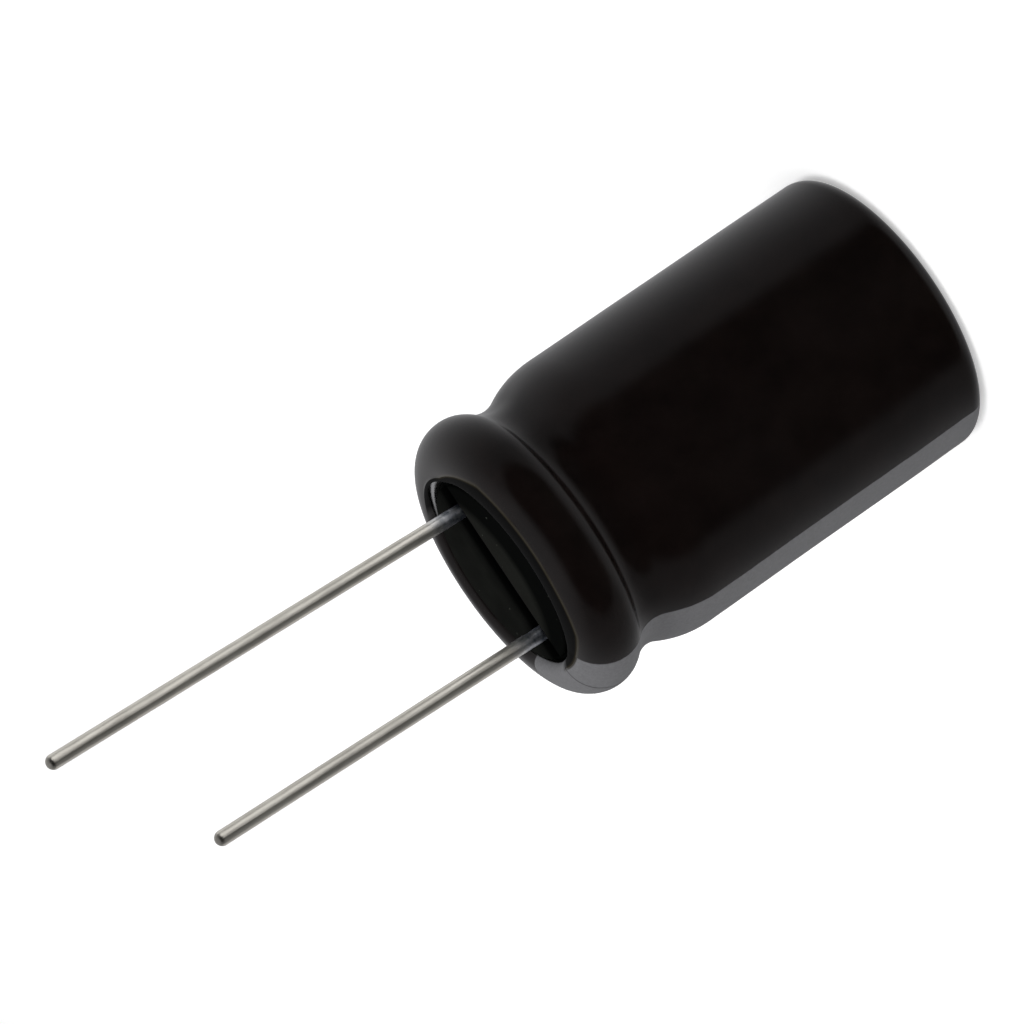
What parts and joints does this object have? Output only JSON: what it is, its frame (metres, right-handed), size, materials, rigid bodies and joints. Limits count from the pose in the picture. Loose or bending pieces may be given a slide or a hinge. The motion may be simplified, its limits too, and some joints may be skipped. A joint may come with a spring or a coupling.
{
  "type": "electrolytic capacitor",
  "caption": "Radial aluminium electrolytic capacitor: sleeved beaded can, rubber bung with stand-off pads, wound foils and papers inside, two round wire leads.",
  "frame": {"origin": "middle of the face of the closed end that the capacitor stands on", "axes": "+Z along the can's axis towards the leads, +X from the axis to the anode lead, which is the longer one"},
  "size_m": [0.0164, 0.0162, 0.0511],
  "materials": {
    "sleeve": "glossy shrink film",
    "can": "bright drawn",
    "bung": "matte moulded",
    "etched_foil": "etched matte",
    "plain_foil": "satin",
    "paper": "soaked kraft paper",
    "tape": "satin film",
    "tab": "satin drawn",
    "lead": "bright tinned"
  },
  "bodies": {
    "root": {"sleeve": "sleeve", "can": "can", "bung": "bung", "anode_foil": "etched_foil", "cathode_foil": "plain_foil", "inner_separator": "paper", "outer_separator": "paper", "closing_tape": "tape", "anode_tab": "tab", "cathode_tab": "tab", "anode_lead": "lead", "cathode_lead": "lead"}
  },
  "joints": []
}
